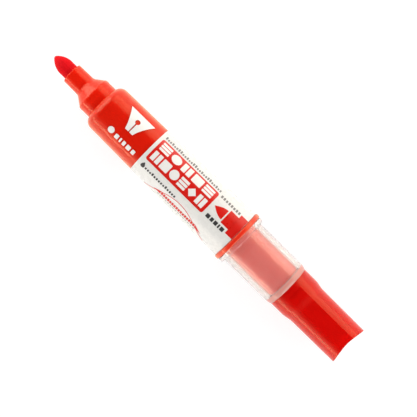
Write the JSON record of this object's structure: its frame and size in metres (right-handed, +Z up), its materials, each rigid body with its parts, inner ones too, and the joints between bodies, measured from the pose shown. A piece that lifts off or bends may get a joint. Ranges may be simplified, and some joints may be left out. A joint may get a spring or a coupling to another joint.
{
  "type": "whiteboard marker",
  "caption": "Round refillable whiteboard marker with a bullet nib, a tapered labelled barrel and a clear-sleeved cap that is posted on the tail and pulls off.",
  "frame": {"origin": "on the surface the marker lies on, under its middle, halfway between the nib's tip and the end of the cap's crown", "axes": "+X along the marker from the nib to the cap's crown, +Z up through the printed side, the marker's axis 10.3 mm above the surface"},
  "size_m": [0.142, 0.0206, 0.0206],
  "materials": {
    "nib": "pressed fibre soaked with red ink",
    "nose_holder": "translucent red",
    "collector_housing": "ink-stained, smooth",
    "feed_collector": "ink-stained, fine fins",
    "feed_core": "bundled fibre soaked with red ink",
    "joint_plug": "smooth",
    "joint_gasket": "soft, matte",
    "barrel": "translucent red, polished",
    "label_film": "clear film, white from a third of its length back, printed, satin",
    "cartridge_bottle": "clear, holding red ink",
    "cartridge_wrap": "printed film",
    "mouth_bush": "smooth",
    "seal_ball": "smooth",
    "tail": "translucent red",
    "tail_seal": "soft, matte",
    "inner_cap": "milky, translucent",
    "cap_sleeve": "clear, polished",
    "cap_crown": "translucent red, polished",
    "crown_retainer": "smooth"
  },
  "bodies": {
    "marker": {"nib": "nib", "nose_holder": "nose_holder", "collector_housing": "collector_housing", "feed_collector": "feed_collector", "feed_core": "feed_core", "joint_plug": "joint_plug", "joint_gasket": "joint_gasket", "barrel": "barrel", "label_film": "label_film", "cartridge_bottle": "cartridge_bottle", "cartridge_wrap": "cartridge_wrap", "mouth_bush": "mouth_bush"},
    "ball": {"seal_ball": "seal_ball"},
    "seal": {"tail_seal": "tail_seal"},
    "tail": {"tail": "tail"},
    "cap": {"inner_cap": "inner_cap", "cap_sleeve": "cap_sleeve", "cap_crown": "cap_crown", "crown_retainer": "crown_retainer"}
  },
  "joints": [
    {"name": "tail_travel", "type": "slide", "parent": "marker", "child": "seal", "axis": [1, 0, 0], "range_m": [0, 0.0072]},
    {"name": "tail_screw", "type": "hinge", "parent": "seal", "child": "tail", "pos_m": [0.0145, 0, 0.0103], "axis": [1, 0, 0], "range_deg": [0, 1081]},
    {"name": "cap_pull", "type": "slide", "parent": "tail", "child": "cap", "axis": [1, 0, 0], "range_m": [0, 0.05]},
    {"name": "ball_travel", "type": "slide", "parent": "marker", "child": "ball", "axis": [1, 0, 0], "range_m": [0, 0.039]}
  ],
  "couplings": [
    {"joint": "tail_screw", "follows": "tail_travel", "rad_per_m": 2618}
  ]
}
